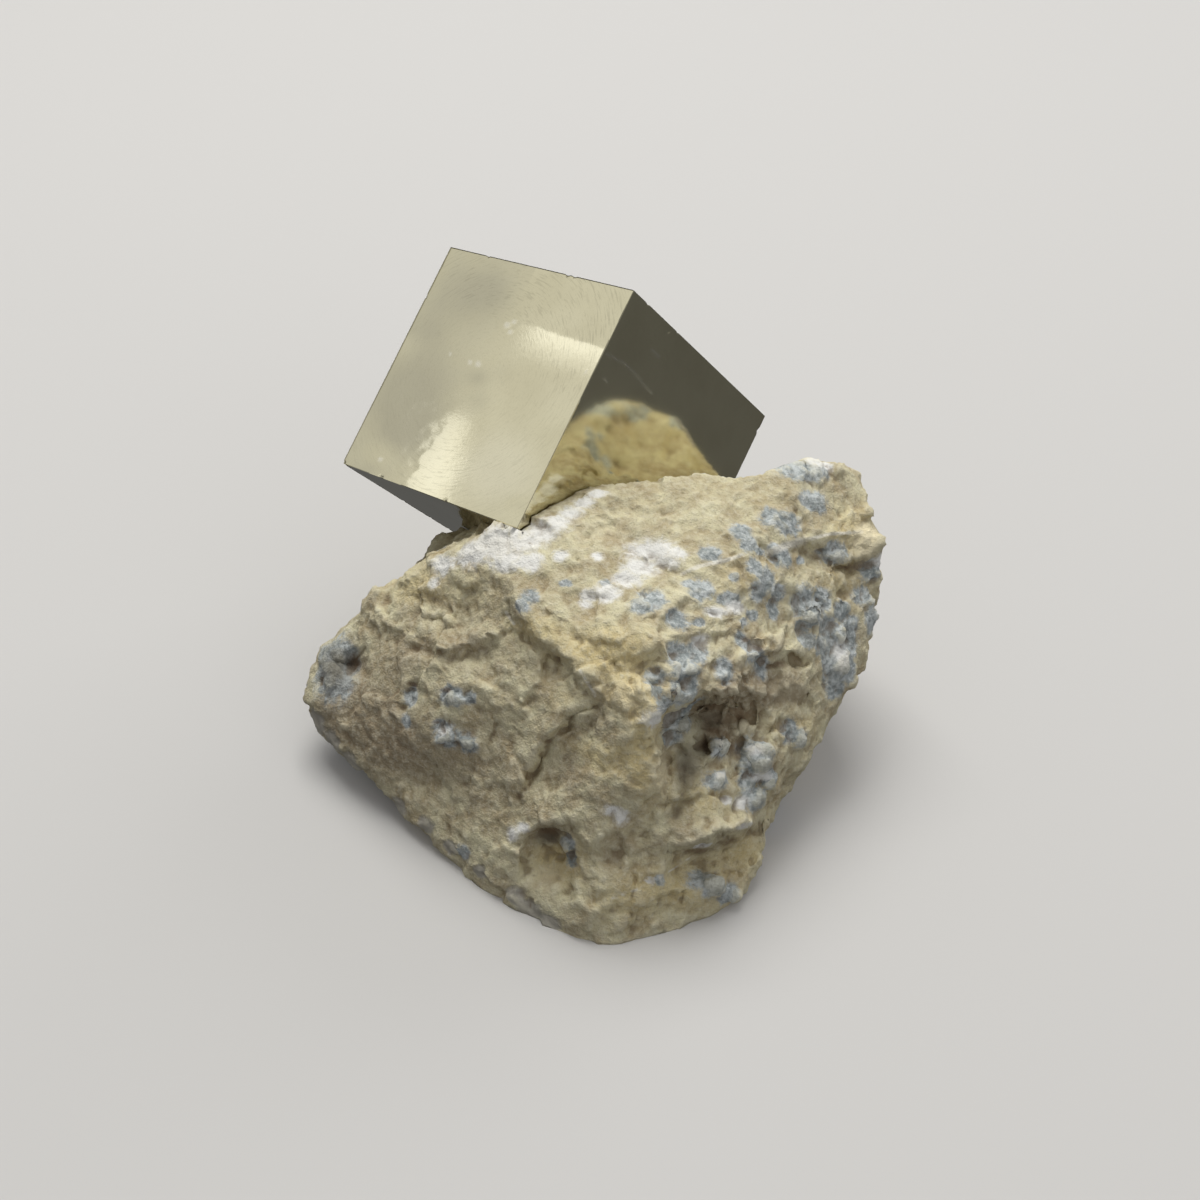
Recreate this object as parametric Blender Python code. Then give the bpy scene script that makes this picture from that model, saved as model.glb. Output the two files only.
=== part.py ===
"""A pyrite cube standing in a lump of pale marl, as broken out of the bed.

Two solids: the crystal, an almost equal-sided cube tilted on one corner, and the marl that
holds that corner. The marl rests on a flat break. Lengths are millimetres, and MM turns them
into metres when a mesh is finished.

The marl is laid out in the sight frame, which is how it is seen from EYE. (across, up, near)
are millimetres to the right, upwards and towards the eye, at SIGHT_DISTANCE from it.
"""

import math

import bmesh
import bpy
from mathutils import Matrix, Vector, noise
from mathutils.bvhtree import BVHTree

MM = 0.001

# The crystal: its sides, and how it stands over the ground
CRYSTAL_WIDTH = 16.0
CRYSTAL_HEIGHT = 16.0
CRYSTAL_DEPTH = 18.0
CRYSTAL_CENTRE = Vector((0.0, 0.0, 15.3))
CRYSTAL_WIDTH_AXIS = Vector((0.7621, -0.6175, 0.1946))
CRYSTAL_DEPTH_AXIS = Vector((0.5431, 0.4461, -0.7114))
CRYSTAL_EDGE = 0.12
SOCKET_GAP = 0.3

# The eye that the marl is laid out from
EYE = Vector((3.6, -93.0, 74.7))
EYE_ELEVATION = math.radians(38.0)
EYE_ROLL = math.radians(4.9)
SIGHT_DISTANCE = 100.0

# The marl's mesh: it is cast outwards from its core, then thinned, then cut to the crystal
# and the ground
MARL_CORE = Vector((4.0, -12.0, 8.0))
CAST_LEVEL = 7
HULL_SOFTENING = 6
BALL_SOFTENING = 7
THINNED_TRIANGLES = 12500
GROUND_BLOCK = 60.0
SLIVER = 0.03

# Colours are linear red, green and blue
PYRITE_COLOUR = (0.60, 0.55, 0.40)
PYRITE_ROUGHNESS = 0.15
MARL_COLOUR = (0.50, 0.41, 0.25)
MARL_ROUGHNESS = 0.92

# Corners of the marl on its outline and front, in the sight frame
SEEN_CORNERS = [
    (-18.3, -5.4, -5.0),
    (-18.2, -7.2, -4.5),
    (-17.0, -2.8, -5.5),
    (-15.2, -1.8, -5.0),
    (-13.3, 0.9, -2.5),
    (-10.3, 2.4, 0.0),
    (-6.1, 4.6, 2.6),
    (-0.6, 6.8, 1.0),
    (3.0, 7.3, 0.2),
    (8.6, 7.6, -1.0),
    (12.8, 8.3, -2.8),
    (14.5, 9.0, -5.0),
    (15.9, 8.4, -6.3),
    (17.0, 3.9, -5.5),
    (17.1, 0.0, -5.5),
    (16.2, -4.2, -4.4),
    (13.4, -7.2, -2.6),
    (9.9, -13.0, 0.8),
    (8.6, -18.0, 1.4),
    (5.6, -20.2, 2.6),
    (-0.4, -21.4, 3.9),
    (-3.0, -19.4, 3.4),
    (-5.1, -16.5, 2.6),
    (-9.4, -12.6, 0.0),
    (-15.5, -9.1, -3.2),
    (0.6, -5.5, 7.4),
    (3.6, -2.0, 7.0),
    (0.0, -12.0, 6.6),
    (-5.0, 0.0, 5.0),
    (-10.3, -5.5, 2.4),
    (8.5, 0.0, 3.6),
    (7.0, -8.8, 6.0),
    (12.0, -4.0, 0.8),
]

# Corners behind and below, in the part's frame. Those under the base are cut off level
HIDDEN_CORNERS = [
    (-11.5, -11.5, 1.0),
    (-9.5, -9.0, 7.0),
    (-8.0, -5.5, 7.5),
    (-5.5, -3.0, 9.2),
    (-9.0, -4.0, 2.0),
    (-9.0, -7.0, -1.0),
    (-5.0, 1.0, -1.0),
    (4.0, 4.5, -1.0),
    (12.0, 4.5, -1.0),
    (13.0, 3.0, 8.0),
    (16.0, -0.2, 13.0),
    (18.5, -1.2, 13.0),
    (18.6, -0.4, 5.0),
    (16.6, -3.2, -1.5),
    (14.6, -13.5, -1.5),
    (12.1, -21.4, -1.5),
    (12.5, -25.5, -1.5),
    (10.8, -28.2, -1.5),
    (5.2, -30.8, -1.5),
    (1.8, -29.5, -1.5),
    (-0.4, -23.3, -1.5),
    (-6.7, -16.6, -1.5),
    (-10.1, -13.2, -1.0),
]

# Rounded hollows: centre in the part's frame and radius
HOLLOWS = [
    ((3.4, -8.3, 20.4), 2.2),
    ((6.0, -6.0, 19.6), 3.3),
    ((9.6, -3.6, 18.4), 4.4),
    ((13.2, -1.6, 18.0), 3.6),
    ((-8.6, -9.0, 12.6), 2.4),
    ((17.4, -21.2, 3.1), 3.0),
]

# Round nodules: centre in the sight frame and radius
NODULES = [
    ((-16.1, -3.9, -4.9), 1.3),
    ((-16.6, -5.2, -5.0), 1.2),
    ((12.3, 7.2, -2.9), 0.9),
    ((13.2, 7.3, -4.0), 1.2),
    ((14.2, 7.3, -5.0), 1.2),
    ((14.8, 6.9, -6.2), 1.0),
    ((16.0, 3.3, -5.4), 1.4),
    ((16.1, 1.2, -5.6), 1.2),
    ((16.0, -0.7, -5.6), 1.1),
    ((11.4, -7.9, -1.4), 1.5),
    ((9.2, -9.4, 1.5), 1.7),
    ((10.2, -11.3, 0.3), 1.1),
    ((7.0, -8.6, 2.6), 0.7),
    ((-8.7, 2.5, -9.5), 1.95),
]

# Round nodules of the crest's back: centre in the part's frame and radius
BACK_NODULES = [
    ((14.4, -8.7, 17.5), 1.2),
    ((16.5, -5.3, 17.6), 1.3),
    ((16.9, -2.9, 15.4), 1.9),
    ((15.6, -2.2, 13.6), 1.6),
]

# Smooth swells (+) and dips (-) of the front: place in the sight frame, half sizes, height
SWELLS = [
    ((1.2, -3.0), (4.6, 2.0), 1.0),
    ((1.9, -7.2), (2.0, 2.3), 1.0),
    ((7.2, -8.6), (2.5, 2.7), -2.3),
    ((6.4, -6.9), (1.1, 0.7), -1.1),
    ((9.0, -3.2), (2.6, 1.4), 0.7),
    ((0.6, -10.8), (2.6, 1.9), 0.6),
    ((-2.7, -15.9), (1.7, 1.9), -1.1),
    ((1.5, -15.5), (1.3, 1.2), -0.7),
    ((7.0, -16.0), (3.0, 1.0), -1.0),
    ((14.2, 2.9), (1.8, 0.8), -0.9),
    ((11.9, -6.3), (1.8, 1.0), -0.8),
    ((-15.0, -3.8), (0.8, 0.8), -0.8),
    ((-8.8, -1.0), (2.4, 1.3), -0.7),
    ((-10.9, -3.4), (2.2, 1.0), 0.7),
    ((-6.5, -9.5), (2.8, 2.8), -0.8),
    ((-12.0, -8.0), (2.6, 1.8), 0.5),
]

# Ledges: a line in the sight frame that has the higher side on its left, and its height
LEDGES = [
    ([(3.6, -12.4), (3.6, -9.1), (4.1, -6.8), (6.1, -5.9), (8.8, -6.1), (10.6, -5.5)], 2.3),
    ([(-5.8, 1.5), (-5.3, -1.2), (-3.3, -3.3), (-1.1, -5.8)], 1.0),
    ([(-5.0, -12.1), (-3.0, -8.8), (0.0, -6.2)], 1.1),
    ([(0.0, -6.1), (0.9, -4.8), (2.4, -5.0)], -0.8),
    ([(-5.0, -17.0), (-4.7, -15.2), (-3.6, -14.1), (-2.2, -13.6), (-1.0, -14.4), (-0.4, -15.9)], 0.9),
    ([(3.8, -14.9), (6.1, -15.2), (8.5, -14.3), (10.2, -13.0)], 2.1),
    ([(10.6, 3.2), (13.3, 3.5), (15.3, 3.8)], 1.0),
    ([(0.0, -2.7), (3.0, -3.2), (6.1, -2.4), (8.8, -0.6)], 0.7),
    ([(-14.2, -0.6), (-11.8, -2.6), (-9.1, -3.0), (-6.1, -2.4)], 0.9),
    ([(0.0, -13.0), (2.4, -12.6), (3.6, -11.5)], 0.8),
    ([(-11.0, -9.5), (-8.0, -11.0), (-5.0, -11.5)], 0.5),
    ([(6.5, -0.2), (9.5, 0.6), (12.5, 0.4), (15.0, -0.6)], 0.6),
]
LEDGE_WIDTH = 0.32
LEDGE_REACH = 1.7
LEDGE_WANDER = 0.5
LEDGE_WANDER_SIZE = 1.6
STEEP_SIGHT = 0.35
PLAIN_SIGHT = 0.7

# The broken surface: chips of about CHIP_SIZE, and a finer grain
CHIP_SIZE = 2.6
CHIP_STEP = 0.05
CHIP_TILT = 0.11
GRAIN_SIZE = 1.7
GRAIN_HEIGHT = 0.17
SWELL_SIZE = 5.5
SWELL_HEIGHT = 0.3


def sight_axes():
    """Right, up and forward of the eye, as unit vectors."""
    level = Vector((1, 0, 0))
    rise = Vector((0, math.sin(EYE_ELEVATION), math.cos(EYE_ELEVATION)))
    right = level * math.cos(EYE_ROLL) + rise * math.sin(EYE_ROLL)
    up = rise * math.cos(EYE_ROLL) - level * math.sin(EYE_ROLL)
    forward = Vector((0, math.cos(EYE_ELEVATION), -math.sin(EYE_ELEVATION)))
    return right, up, forward


def from_sight(across, up, near):
    """A point of the sight frame in the part's own frame."""
    right, rise, forward = sight_axes()
    ray = forward + (right * across + rise * up) / SIGHT_DISTANCE
    return EYE + ray * (SIGHT_DISTANCE - near)


def to_sight(point):
    """Where a point of the part's frame is seen: (across, up)."""
    right, rise, forward = sight_axes()
    away = point - EYE
    scale = SIGHT_DISTANCE / away.dot(forward)
    return Vector((away.dot(right) * scale, away.dot(rise) * scale))


def new_object(name, bm, collection):
    """A finished mesh as a named object of a collection."""
    mesh = bpy.data.meshes.new(name)
    bm.to_mesh(mesh)
    bm.free()
    thing = bpy.data.objects.new(name, mesh)
    collection.objects.link(thing)
    return thing


def marl_hull():
    """The marl's large break faces, as the hull of its corners."""
    bm = bmesh.new()
    for corner in SEEN_CORNERS:
        bm.verts.new(from_sight(*corner))
    for corner in HIDDEN_CORNERS:
        bm.verts.new(Vector(corner))
    bmesh.ops.convex_hull(bm, input=bm.verts)
    loose = [v for v in bm.verts if not v.link_faces]
    bmesh.ops.delete(bm, geom=loose, context="VERTS")
    return bm


def soften(bm, rounds):
    """Rounds a mesh's edges."""
    for _ in range(rounds):
        bmesh.ops.smooth_vert(
            bm, verts=bm.verts, factor=0.5, use_axis_x=True, use_axis_y=True, use_axis_z=True
        )


def cast_marl():
    """An even mesh on the hull, cast outwards from the core, with its edges softened."""
    hull = marl_hull()
    tree = BVHTree.FromBMesh(hull)
    bm = bmesh.new()
    bmesh.ops.create_icosphere(bm, subdivisions=CAST_LEVEL, radius=1.0)
    for vert in bm.verts:
        hit = tree.ray_cast(MARL_CORE, vert.co.normalized())[0]
        vert.co = hit
    hull.free()
    soften(bm, HULL_SOFTENING)
    return bm


def chord(direction, centre, radius):
    """Distances from the core at which a ray enters and leaves a ball, or None."""
    along = (centre - MARL_CORE).dot(direction)
    miss = (centre - MARL_CORE).length_squared - along * along
    if miss >= radius * radius:
        return None
    half = math.sqrt(radius * radius - miss)
    return along - half, along + half


def shape_balls(bm):
    """Carves the hollows and adds the nodules."""
    nodules = [(from_sight(*place), radius) for place, radius in NODULES]
    nodules += [(Vector(place), radius) for place, radius in BACK_NODULES]
    hollows = [(Vector(place), radius) for place, radius in HOLLOWS]
    for vert in bm.verts:
        away = vert.co - MARL_CORE
        reach = away.length
        direction = away / reach
        for centre, radius in hollows:
            cut = chord(direction, centre, radius)
            if cut and cut[0] < reach < cut[1] + radius:
                reach = cut[0]
        for centre, radius in nodules:
            ball = chord(direction, centre, radius)
            if ball and ball[1] > reach:
                reach = ball[1]
        vert.co = MARL_CORE + direction * reach


def line_offset(point, line):
    """Signed distance to a line of points, plus to its left, and the share of its length."""
    best = None
    for index, (start, end) in enumerate(zip(line, line[1:])):
        start = Vector(start)
        run = Vector(end) - start
        along = (point - start).dot(run) / run.length_squared
        held = min(max(along, 0.0), 1.0)
        away = point - (start + run * held)
        side = 1.0 if run.cross(away) > 0 else -1.0
        if best is None or away.length < abs(best[0]):
            best = (side * away.length, (index + held) / (len(line) - 1))
    return best


def front_relief(spot):
    """How far the front stands out at a place of the sight frame."""
    height = 0.0
    wander = noise.noise_vector(Vector((spot.x, spot.y, 0.0)) / LEDGE_WANDER_SIZE)
    bent = spot + wander.xy * LEDGE_WANDER
    for (across, up), (half_across, half_up), swell in SWELLS:
        reach = ((spot.x - across) / half_across) ** 2 + ((spot.y - up) / half_up) ** 2
        if reach < 4.0:
            height += swell * math.exp(-1.3 * reach)
    for line, step in LEDGES:
        offset, share = line_offset(bent, line)
        if abs(offset) < 2.5 * LEDGE_REACH:
            fade = math.exp(-((offset / LEDGE_REACH) ** 2))
            fade *= min(1.0, 4.5 * share * (1.0 - share) + 0.1)
            height += 0.5 * step * math.tanh(offset / LEDGE_WIDTH) * fade
    return height


def shape_front(bm):
    """Raises the front's ledges and swells along the line of sight."""
    bm.normal_update()
    for vert in bm.verts:
        to_eye = (EYE - vert.co).normalized()
        facing = (vert.normal.dot(to_eye) - STEEP_SIGHT) / (PLAIN_SIGHT - STEEP_SIGHT)
        facing = min(max(facing, 0.0), 1.0)
        if facing > 0.0:
            vert.co += to_eye * front_relief(to_sight(vert.co)) * facing


def chip_height(point):
    """Height of the break face that a point lies on: each has its own level and tilt."""
    place = point / CHIP_SIZE
    middle = noise.voronoi(place)[1][0]
    step = noise.cell(middle * 7.3) * 2.0 - 1.0
    tilt = noise.cell_vector(middle * 5.1) * 2.0 - Vector((1, 1, 1))
    return CHIP_STEP * step + CHIP_TILT * CHIP_SIZE * tilt.dot(place - middle)


def roughen(bm):
    """Breaks the surface into chips, with swells and a grain, along its normals."""
    bm.normal_update()
    moves = []
    for vert in bm.verts:
        point = vert.co
        rise = SWELL_HEIGHT * noise.noise(point / SWELL_SIZE)
        warp = noise.noise_vector(point / 2.2) * 0.5
        rise += chip_height(point + warp)
        rise += GRAIN_HEIGHT * noise.fractal(point / GRAIN_SIZE, 1.0, 2.1, 3)
        moves.append(vert.normal * rise)
    for vert, move in zip(bm.verts, moves):
        vert.co += move


def crystal_matrix():
    """The crystal's own axes and place: X is its width, Y its depth, Z its height."""
    x = CRYSTAL_WIDTH_AXIS.normalized()
    y = (CRYSTAL_DEPTH_AXIS - x * CRYSTAL_DEPTH_AXIS.dot(x)).normalized()
    z = x.cross(y)
    turn = Matrix((x, y, z)).transposed().to_4x4()
    return Matrix.Translation(CRYSTAL_CENTRE) @ turn


def crystal_box(grown=0.0, edge=0.0):
    """The crystal's block, grown on all sides, with its edges broken."""
    bm = bmesh.new()
    bmesh.ops.create_cube(bm, size=1.0)
    size = Vector((CRYSTAL_WIDTH, CRYSTAL_DEPTH, CRYSTAL_HEIGHT)) + Vector((2, 2, 2)) * grown
    bmesh.ops.scale(bm, vec=size, verts=bm.verts)
    if edge:
        bmesh.ops.bevel(
            bm, geom=bm.edges, offset=edge, affect="EDGES", segments=1, profile=0.5, material=-1
        )
    bm.transform(crystal_matrix())
    return bm


def baked(thing):
    """Turns an object's modifiers into its mesh."""
    shaped = thing.evaluated_get(bpy.context.evaluated_depsgraph_get())
    mesh = bpy.data.meshes.new_from_object(shaped)
    old = thing.data
    thing.modifiers.clear()
    thing.data = mesh
    bpy.data.meshes.remove(old)
    mesh.name = thing.name


def thin(thing, triangles):
    """Thins a mesh to a number of triangles."""
    step = thing.modifiers.new("thin", "DECIMATE")
    step.ratio = triangles / len(thing.data.polygons)
    baked(thing)


def cut(thing, cutter):
    """Takes a cutter away from an object."""
    step = thing.modifiers.new("cut", "BOOLEAN")
    step.operation = "DIFFERENCE"
    step.solver = "EXACT"
    step.object = cutter
    baked(thing)


def clean(thing):
    """Joins the slivers that cutting leaves, and splits all faces into triangles."""
    bm = bmesh.new()
    bm.from_mesh(thing.data)
    bmesh.ops.remove_doubles(bm, verts=bm.verts, dist=SLIVER)
    bmesh.ops.dissolve_degenerate(bm, edges=bm.edges, dist=SLIVER)
    bmesh.ops.triangulate(bm, faces=bm.faces)
    bm.to_mesh(thing.data)
    bm.free()


def make_cutter(name, bm, collection):
    """A block that is only there to be cut away."""
    thing = new_object(name, bm, collection)
    thing.hide_render = True
    thing.display_type = "WIRE"
    return thing


def make_marl(parts, cutters):
    """The lump of marl, with its socket for the crystal and its level base."""
    bm = cast_marl()
    shape_balls(bm)
    soften(bm, BALL_SOFTENING)
    shape_front(bm)
    roughen(bm)
    marl = new_object("marl_matrix", bm, parts)
    thin(marl, THINNED_TRIANGLES)
    cut(marl, make_cutter("socket_cutter", crystal_box(grown=SOCKET_GAP), cutters))
    block = bmesh.new()
    bmesh.ops.create_cube(block, size=GROUND_BLOCK)
    block.transform(Matrix.Translation((MARL_CORE.x, MARL_CORE.y, -GROUND_BLOCK / 2)))
    cut(marl, make_cutter("ground_cutter", block, cutters))
    clean(marl)
    return marl


def paint(thing, colour, roughness, metallic):
    """Gives an object its own material."""
    material = bpy.data.materials.new(thing.name)
    material.use_nodes = True
    shader = material.node_tree.nodes["Principled BSDF"]
    shader.inputs["Base Color"].default_value = (*colour, 1.0)
    shader.inputs["Roughness"].default_value = roughness
    shader.inputs["Metallic"].default_value = metallic
    material.diffuse_color = (*colour, 1.0)
    thing.data.materials.clear()
    thing.data.materials.append(material)


def to_metres(things):
    """Puts the origin under the middle of the whole on the ground, in metres."""
    points = [vert.co for thing in things for vert in thing.data.vertices]
    low = Vector([min(point[axis] for point in points) for axis in range(3)])
    high = Vector([max(point[axis] for point in points) for axis in range(3)])
    origin = Vector(((low.x + high.x) / 2, (low.y + high.y) / 2, low.z))
    for thing in things:
        thing.data.transform(Matrix.Scale(MM, 4) @ Matrix.Translation(-origin))
    return origin


def main():
    for thing in list(bpy.data.objects):
        bpy.data.objects.remove(thing)
    scene = bpy.context.scene.collection
    parts = bpy.data.collections.new("pyrite_cube_on_marl")
    cutters = bpy.data.collections.new("cutters")
    scene.children.link(parts)
    scene.children.link(cutters)

    marl = make_marl(parts, cutters)
    crystal = new_object("pyrite_cube", crystal_box(edge=CRYSTAL_EDGE), parts)
    to_metres([marl, crystal])
    paint(marl, MARL_COLOUR, MARL_ROUGHNESS, 0.0)
    paint(crystal, PYRITE_COLOUR, PYRITE_ROUGHNESS, 1.0)


main()
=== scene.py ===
"""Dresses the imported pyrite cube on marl, and sets its camera, floor and lights.

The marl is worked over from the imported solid, and the crystal is made again with its growth
lines. What is seen in the picture is placed by picture units: (right, down) in a frame of
1200 by 1200, cast from the camera onto the stone. Other lengths are millimetres.
"""

import math
import random

import bmesh
import bpy
import numpy as np
from mathutils import Matrix, Vector, noise
from mathutils.bvhtree import BVHTree


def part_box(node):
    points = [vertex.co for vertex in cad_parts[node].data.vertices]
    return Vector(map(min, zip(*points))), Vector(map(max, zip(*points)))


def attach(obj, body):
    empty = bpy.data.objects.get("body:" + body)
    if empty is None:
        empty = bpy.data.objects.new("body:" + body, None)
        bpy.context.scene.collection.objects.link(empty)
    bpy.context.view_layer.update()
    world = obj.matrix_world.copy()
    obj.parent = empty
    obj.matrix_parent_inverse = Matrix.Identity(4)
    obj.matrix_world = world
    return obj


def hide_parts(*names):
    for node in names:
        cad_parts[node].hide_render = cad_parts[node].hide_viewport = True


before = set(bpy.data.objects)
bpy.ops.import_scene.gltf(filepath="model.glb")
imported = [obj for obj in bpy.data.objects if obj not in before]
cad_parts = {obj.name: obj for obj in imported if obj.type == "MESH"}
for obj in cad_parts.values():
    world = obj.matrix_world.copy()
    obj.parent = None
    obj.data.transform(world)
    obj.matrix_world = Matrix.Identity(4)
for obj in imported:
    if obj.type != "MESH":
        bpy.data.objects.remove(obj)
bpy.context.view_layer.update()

MM = 0.001
CRYSTAL = "pyrite_cube"
MARL = "marl_matrix"

# The crystal's block
CRYSTAL_SIZE = Vector((16.0, 18.0, 16.0))
CRYSTAL_WIDTH_AXIS = Vector((0.7621, -0.6175, 0.1946))
CRYSTAL_DEPTH_AXIS = Vector((0.5431, 0.4461, -0.7114))
CRYSTAL_EDGE = 0.06
CRYSTAL_CUTS = 110

# The camera, from the middle of the crystal
PICTURE = 1200
PICTURE_FOCAL = 1650
SENSOR = 36.0
EYE_FROM_CRYSTAL = Vector((3.6, -93.0, 59.4))
EYE_ELEVATION = math.radians(38.0)
EYE_ROLL = math.radians(4.9)

low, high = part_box(CRYSTAL)
CRYSTAL_CENTRE = (low + high) / 2 / MM
EYE = CRYSTAL_CENTRE + EYE_FROM_CRYSTAL


def eye_axes():
    """Right, up and forward of the camera."""
    level = Vector((1, 0, 0))
    rise = Vector((0, math.sin(EYE_ELEVATION), math.cos(EYE_ELEVATION)))
    right = level * math.cos(EYE_ROLL) + rise * math.sin(EYE_ROLL)
    up = rise * math.cos(EYE_ROLL) - level * math.sin(EYE_ROLL)
    forward = Vector((0, math.cos(EYE_ELEVATION), -math.sin(EYE_ELEVATION)))
    return right, up, forward


RIGHT, UP, FORWARD = eye_axes()


def sight(x, y):
    """Direction from the camera through a place of the picture."""
    half = PICTURE / 2
    return (FORWARD + (RIGHT * (x - half) + UP * (half - y)) / PICTURE_FOCAL).normalized()


def in_picture(points):
    """Where points show in the picture, as rows of (right, down)."""
    away = points - np.array(EYE)
    scale = PICTURE_FOCAL / (away @ np.array(FORWARD))
    half = PICTURE / 2
    right = half + away @ np.array(RIGHT) * scale
    down = half - away @ np.array(UP) * scale
    return np.stack((right, down), axis=1)


def crystal_matrix():
    """The crystal's place: X is its width, Y its depth and Z its height."""
    x = CRYSTAL_WIDTH_AXIS.normalized()
    y = (CRYSTAL_DEPTH_AXIS - x * CRYSTAL_DEPTH_AXIS.dot(x)).normalized()
    z = x.cross(y)
    return Matrix.Translation(CRYSTAL_CENTRE) @ Matrix((x, y, z)).transposed().to_4x4()


CRYSTAL_MATRIX = crystal_matrix()
CRYSTAL_TURN = np.array(CRYSTAL_MATRIX.to_3x3())
CRYSTAL_HALF = np.array(CRYSTAL_SIZE) / 2


def in_crystal(points):
    """Points in the crystal's own axes, from its middle."""
    return (points - np.array(CRYSTAL_CENTRE)) @ CRYSTAL_TURN


def from_crystal(places):
    """Points of the crystal's own axes in the part's frame."""
    return places @ CRYSTAL_TURN.T + np.array(CRYSTAL_CENTRE)


def mirrored(x, y, axis, side):
    """Where a crystal face meets the sight through (x, y), and where it mirrors it to."""
    ray = sight(x, y)
    normal = CRYSTAL_MATRIX.to_3x3().col[axis] * side
    start = CRYSTAL_CENTRE + normal * CRYSTAL_HALF[axis]
    hit = EYE + ray * ((start - EYE).dot(normal) / ray.dot(normal))
    return hit, ray - normal * 2.0 * ray.dot(normal)


# The crystal's two faces that the picture shows: their axis and side
BRIGHT_FACE = (1, -1)
RIGHT_FACE = (0, 1)


# ---- shader values


class Value:
    """A value that varies over a surface. Arithmetic on it adds Math nodes."""

    def __init__(self, finish, socket):
        self.finish = finish
        self.socket = socket

    def math(self, operation, *values):
        inputs = dict(enumerate(values))
        return self.finish.node("ShaderNodeMath", {"operation": operation}, inputs)

    def __add__(self, other):
        return self.math("ADD", self, other)

    def __radd__(self, other):
        return self.math("ADD", other, self)

    def __sub__(self, other):
        return self.math("SUBTRACT", self, other)

    def __rsub__(self, other):
        return self.math("SUBTRACT", other, self)

    def __mul__(self, other):
        return self.math("MULTIPLY", self, other)

    def __rmul__(self, other):
        return self.math("MULTIPLY", other, self)

    def clear(self, start, end):
        """0 below start and 1 above end, with a soft step between."""
        settings = {"interpolation_type": "SMOOTHSTEP"}
        inputs = {"Value": self, "From Min": start, "From Max": end}
        return self.finish.node("ShaderNodeMapRange", settings, inputs)


class Finish:
    """A material in the making, with one Principled shader."""

    def __init__(self, name):
        self.material = bpy.data.materials.new(name)
        self.material.use_nodes = True
        self.nodes = self.material.node_tree.nodes
        self.links = self.material.node_tree.links
        self.shader = self.nodes["Principled BSDF"]
        coordinates = self.node("ShaderNodeTexCoord", output="Object")
        self.place = self.vector("SCALE", coordinates, scale=1.0 / MM)

    def node(self, kind, settings=None, inputs=None, output=0):
        """Adds a node: its settings first, then the values or links of its sockets."""
        made = self.nodes.new(kind)
        for name, value in (settings or {}).items():
            setattr(made, name, value)
        for name, value in (inputs or {}).items():
            self.feed(made.inputs[name], value)
        return Value(self, made.outputs[output])

    def feed(self, socket, value):
        if isinstance(value, Value):
            self.links.new(value.socket, socket)
        elif socket.type == "RGBA" and len(value) == 3:
            socket.default_value = (*value, 1.0)
        else:
            socket.default_value = value

    def vector(self, operation, first, second=None, scale=None):
        inputs = {0: first}
        if second is not None:
            inputs[1] = second
        if scale is not None:
            inputs["Scale"] = scale
        return self.node("ShaderNodeVectorMath", {"operation": operation}, inputs)

    def mix(self, share, first, second, blend="MIX"):
        """A colour between two, or one laid on the other."""
        settings = {"data_type": "RGBA", "blend_type": blend}
        return self.node("ShaderNodeMix", settings, {0: share, 6: first, 7: second}, 2)

    def grain(self, size, detail=2.0, roughness=0.5, place=None, distortion=0.0):
        """Soft noise from 0 to 1 with lumps of about that many millimetres."""
        inputs = {
            "Vector": place or self.place,
            "Scale": 1.0 / size,
            "Detail": detail,
            "Roughness": roughness,
            "Distortion": distortion,
        }
        return self.node("ShaderNodeTexNoise", {}, inputs)

    def worked(self, name):
        """A number that the mesh carries at each of its points."""
        settings = {"attribute_name": name}
        return self.node("ShaderNodeAttribute", settings, {}, "Fac")

    def dot(self, place, axis):
        """How far a place lies along an axis."""
        settings = {"operation": "DOT_PRODUCT"}
        return self.node("ShaderNodeVectorMath", settings, {0: place, 1: axis}, "Value")

    def bump(self, height, depth, strength=1.0, normal=None):
        """A normal that stands out by depth millimetres where height is 1."""
        inputs = {"Height": height, "Distance": depth * MM, "Strength": strength}
        if normal is not None:
            inputs["Normal"] = normal
        return self.node("ShaderNodeBump", {}, inputs)

    def set(self, **sockets):
        """Sets the shader's own sockets."""
        for name, value in sockets.items():
            self.feed(self.shader.inputs[name.replace("_", " ")], value)


# ---- meshes as arrays


class Skin:
    """A closed mesh of triangles as arrays of points, faces and edges."""

    def __init__(self, bm):
        bm.verts.index_update()
        self.points = np.array([vert.co for vert in bm.verts])
        self.faces = np.array([[vert.index for vert in face.verts] for face in bm.faces])
        self.edges = np.array([[vert.index for vert in edge.verts] for edge in bm.edges])
        self.around = np.bincount(self.edges.ravel(), minlength=len(self.points))

    def normals(self):
        corners = self.points[self.faces]
        across = np.cross(corners[:, 1] - corners[:, 0], corners[:, 2] - corners[:, 0])
        total = np.zeros_like(self.points)
        for corner in range(3):
            np.add.at(total, self.faces[:, corner], across)
        return total / np.maximum(np.linalg.norm(total, axis=1, keepdims=True), 1e-12)

    def mean_around(self, values):
        """The mean of each point's neighbours, for values with one row a point."""
        total = np.zeros_like(values)
        np.add.at(total, self.edges[:, 0], values[self.edges[:, 1]])
        np.add.at(total, self.edges[:, 1], values[self.edges[:, 0]])
        return total / self.around[:, None]

    def facing(self):
        """How squarely each point's surface is turned to the camera, from -1 to 1."""
        to_eye = np.array(EYE) - self.points
        to_eye /= np.linalg.norm(to_eye, axis=1, keepdims=True)
        return np.sum(to_eye * self.normals(), axis=1), to_eye

    def tree(self):
        return BVHTree.FromPolygons(self.points.tolist(), self.faces.tolist())


def held(values):
    """Values kept between 0 and 1."""
    return np.minimum(np.maximum(values, 0.0), 1.0)


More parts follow.
